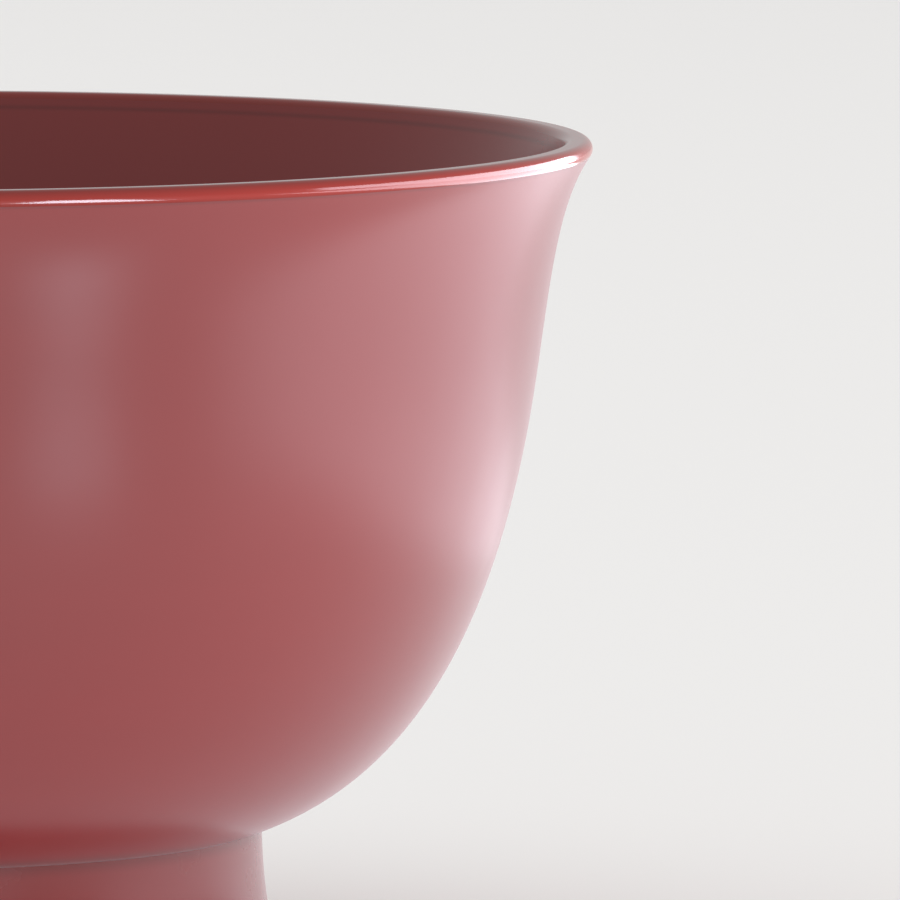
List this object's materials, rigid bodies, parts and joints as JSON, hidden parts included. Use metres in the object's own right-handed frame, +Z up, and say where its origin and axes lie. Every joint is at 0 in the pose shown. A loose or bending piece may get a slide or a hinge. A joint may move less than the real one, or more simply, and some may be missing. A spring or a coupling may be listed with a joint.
{
  "type": "footed lacquer bowl",
  "caption": "Round lacquered wooden bowl with a flared, beaded rim, deep curved wall and high flared foot ring, plain satin red inside and out.",
  "frame": {"origin": "middle of the foot's resting ring, on the plane that the bowl stands on", "axes": "+Z up along the bowl's axis of rotation; X and Y are equivalent"},
  "size_m": [0.12, 0.12, 0.074],
  "materials": {
    "turned_wood": "bare turned hardwood with fine grain, under the lacquer",
    "hemp_cloth": "plain-woven hemp soaked in raw lacquer",
    "glue": "dark hardened lacquer and flour paste",
    "wall_lacquer": "satin red lacquer",
    "inside_lacquer": "satin red lacquer",
    "bead_lacquer": "glossier red lacquer",
    "foot_lacquer": "satin red lacquer"
  },
  "bodies": {
    "root": {"bowl_core": "turned_wood", "foot_core": "turned_wood", "foot_glue": "glue", "rim_cloth": "hemp_cloth", "floor_cloth": "hemp_cloth", "foot_cloth": "hemp_cloth", "outer_coat": "wall_lacquer", "inner_coat": "inside_lacquer", "rim_bead": "bead_lacquer", "foot_coat": "foot_lacquer", "well_coat": "foot_lacquer"}
  },
  "joints": []
}
